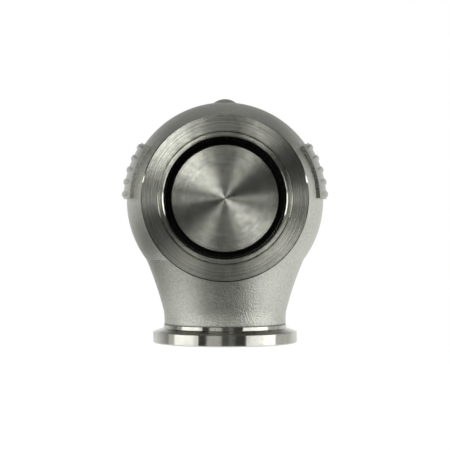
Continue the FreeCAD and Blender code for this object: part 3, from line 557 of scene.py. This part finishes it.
# Wall and room are told apart by the direction in which they lie, 1 being straight ahead.
studio = {
    "floorSize": 1.0,  # m
    "floorColor": "f4f4f4",
    "floorShade": 0.12,  # how much of the floor's look is lit surface, which holds the shadow
    "floorGlow": 1.12,
    "polish": 0.03,  # roughness of the acrylic sheet the part stands on
    "polishIndex": 1.5,  # refractive index, which sets how much it mirrors
    "wallBehind": (0.25, 0.75),  # along Y
    "wallUpper": (0.2, 0.5),  # along Z, where it fades
    "wallUpperLevel": 0.3,
    "roomLevel": 0.03,
    "ceiling": (0.6, 0.9),  # along Z
    "ceilingLevel": 0.3,
    "cardColor": "a8a8a5",
    "cardHeight": 0.3 * mm,
    "cardSteps": 24,
}

# Grey cards on the sheet, in degrees round the outlet, 0 at the camera.
greyCards = {
    "frontCard": {"turn": (-38, 36), "reach": (28 * mm, 450 * mm)},
    "leftCard": {"turn": (-140, -38), "reach": (65 * mm, 500 * mm)},
}


def addPolish(tree, base):
    # The sheet's gloss, which only the part sees: strong where light grazes it.
    gloss = addNode(tree, "ShaderNodeBsdfGlossy", {"Roughness": studio["polish"]})
    edgeOn = addNode(tree, "ShaderNodeFresnel", {"IOR": studio["polishIndex"]})
    paths = addNode(tree, "ShaderNodeLightPath")
    fromPart = calculated(tree, "SUBTRACT", 1, paths.outputs["Is Camera Ray"])
    share = calculated(tree, "MULTIPLY", edgeOn.outputs[0], fromPart)
    return addNode(tree, "ShaderNodeMixShader",
                   {"Fac": share, 1: base, 2: gloss.outputs[0]}).outputs[0]


def buildFloor():
    # White acrylic: it glows white to the lens and the part alike, and its lit share holds the
    # shadow.
    bpy.ops.mesh.primitive_plane_add(size=studio["floorSize"], location=(0, 0, 0))
    floor = bpy.context.object
    floor.name = "studioFloor"
    material, tree = emptyMaterial("whiteAcrylicSheet")
    lit = addNode(tree, "ShaderNodeBsdfDiffuse", {"Color": linearColor(studio["floorColor"])})
    glow = addNode(tree, "ShaderNodeEmission",
                   {"Color": (1, 1, 1, 1), "Strength": studio["floorGlow"]})
    paths = addNode(tree, "ShaderNodeLightPath").outputs
    seen = calculated(tree, "MAXIMUM", paths["Is Camera Ray"], paths["Is Glossy Ray"])
    seenThrough = calculated(tree, "MAXIMUM", seen, paths["Is Transmission Ray"])
    share = calculated(tree, "MULTIPLY", seenThrough, 1 - studio["floorShade"])
    mix = addNode(tree, "ShaderNodeMixShader",
                  {"Fac": share, 1: lit.outputs[0], 2: glow.outputs[0]})
    addNode(tree, "ShaderNodeOutputMaterial", {"Surface": addPolish(tree, mix.outputs[0])})
    floor.data.materials.append(material)


def buildCardMaterial():
    # Grey acrylic, matt under the same gloss: it keeps the white sheet out of the metal.
    material, tree = emptyMaterial("greyAcrylicCard")
    matt = addNode(tree, "ShaderNodeBsdfDiffuse", {"Color": linearColor(studio["cardColor"])})
    addNode(tree, "ShaderNodeOutputMaterial", {"Surface": addPolish(tree, matt.outputs[0])})
    return material


def buildCard(name, place, material):
    # A flat sector of a ring, out of the lens's sight: only the metal shows it.
    start, end = (math.radians(turn) for turn in place["turn"])
    shape = bmesh.new()
    ends = [shape.verts.new((reach * math.sin(start), -reach * math.cos(start),
                             studio["cardHeight"])) for reach in place["reach"]]
    edge = shape.edges.new(ends)
    bmesh.ops.spin(shape, geom=[*ends, edge], cent=(0, 0, 0), axis=(0, 0, 1),
                   angle=end - start, steps=studio["cardSteps"], use_merge=False,
                   use_duplicate=False)
    bmesh.ops.recalc_face_normals(shape, faces=shape.faces)
    mesh = bpy.data.meshes.new(name)
    shape.to_mesh(mesh)
    shape.free()
    mesh.materials.append(material)
    card = bpy.data.objects.new(name, mesh)
    card.visible_camera = False
    card.visible_shadow = False
    bpy.context.scene.collection.objects.link(card)


def buildWorld():
    # White to the lens; the part sees a white wall behind it and a dark room round the camera.
    world = bpy.data.worlds.new("studio")
    bpy.context.scene.world = world
    world.use_nodes = True
    tree = world.node_tree
    tree.nodes.clear()
    direction = addNode(tree, "ShaderNodeTexCoord").outputs["Generated"]
    toward = addNode(tree, "ShaderNodeSeparateXYZ", {"Vector": direction}).outputs
    level = ranged(tree, toward["Z"], studio["ceiling"], studio["roomLevel"],
                   studio["ceilingLevel"])
    room = addNode(tree, "ShaderNodeBackground", {"Strength": level})
    white = addNode(tree, "ShaderNodeBackground", {"Color": (1, 1, 1, 1), "Strength": 1.0})
    wall = calculated(tree, "MULTIPLY",
                      ranged(tree, toward["Y"], studio["wallBehind"], 0.0, 1.0),
                      ranged(tree, toward["Z"], studio["wallUpper"], 1.0,
                             studio["wallUpperLevel"]))
    paths = addNode(tree, "ShaderNodeLightPath").outputs
    seen = calculated(tree, "MAXIMUM", paths["Is Glossy Ray"], paths["Is Transmission Ray"])
    shown = calculated(tree, "MAXIMUM", paths["Is Camera Ray"],
                       calculated(tree, "MULTIPLY", seen, wall))
    mix = addNode(tree, "ShaderNodeMixShader",
                  {"Fac": shown, 1: room.outputs[0], 2: white.outputs[0]})
    addNode(tree, "ShaderNodeOutputWorld", {"Surface": mix.outputs[0]})


# Softboxes round the object, by the angles that they fill: turn is 0 at the camera and grows to
# the right, rise is up from level.
softboxes = {
    "leftBox": {"turn": (-86, -42), "rise": (-2.5, 6), "level": 2.8},
    "leftUpperBox": {"turn": (-100, -50), "rise": (6, 17), "level": 2.8},
    "rightBox": {"turn": (33, 86), "rise": (-2.5, 7), "level": 3.2},
    "rightUpperBox": {"turn": (64, 114), "rise": (7, 17), "level": 3.2},
    "keyBox": {"turn": (-29, -6), "rise": (8, 25), "level": 3.4},
    "topBox": {"turn": (-5, 6), "rise": (12, 32), "level": 0.45},
    "fillBox": {"turn": (7, 16), "rise": (15, 27), "level": 3.0},
    "roomBox": {"turn": (-28, -4), "rise": (0, 5), "level": 0.3},
}
lampTarget = Vector((0, 0, 50 * mm))


def buildLamps():
    # They stand 1 m from the target, so a size in metres is an angle's tangent.
    for name, box in softboxes.items():
        turn, rise = (math.radians(sum(box[key]) / 2) for key in ("turn", "rise"))
        wide, high = (math.radians(box[key][1] - box[key][0]) for key in ("turn", "rise"))
        toward = Vector((math.sin(turn) * math.cos(rise), -math.cos(turn) * math.cos(rise),
                         math.sin(rise)))
        lamp = bpy.data.lights.new(name, "AREA")
        lamp.shape = "RECTANGLE"
        lamp.size = 2 * math.tan(wide / 2)
        lamp.size_y = 2 * math.tan(high / 2)
        lamp.energy = box["level"] * math.pi * lamp.size * lamp.size_y
        holder = bpy.data.objects.new(name, lamp)
        holder.location = lampTarget + toward
        holder.rotation_euler = toward.to_track_quat("Z", "Y").to_euler()
        holder.visible_camera = False
        bpy.context.scene.collection.objects.link(holder)


shot = {
    "distance": 538 * mm,  # from the outlet axis
    "height": 40.1 * mm,
    "tilt": 0.489,  # degrees up
    "lens": 112.46,
    "sensor": 36,
}


def buildCamera():
    data = bpy.data.cameras.new("shotCamera")
    data.lens = shot["lens"]
    data.sensor_width = shot["sensor"]
    camera = bpy.data.objects.new("shotCamera", data)
    camera.location = (0, -shot["distance"], shot["height"])
    camera.rotation_euler = (math.radians(90 + shot["tilt"]), 0, 0)
    bpy.context.scene.collection.objects.link(camera)
    bpy.context.scene.camera = camera


buildFloor()
cardGrey = buildCardMaterial()
for name, place in greyCards.items():
    buildCard(name, place, cardGrey)
buildWorld()
buildLamps()
buildCamera()
bpy.context.scene.view_settings.view_transform = "Standard"
print("studio set")
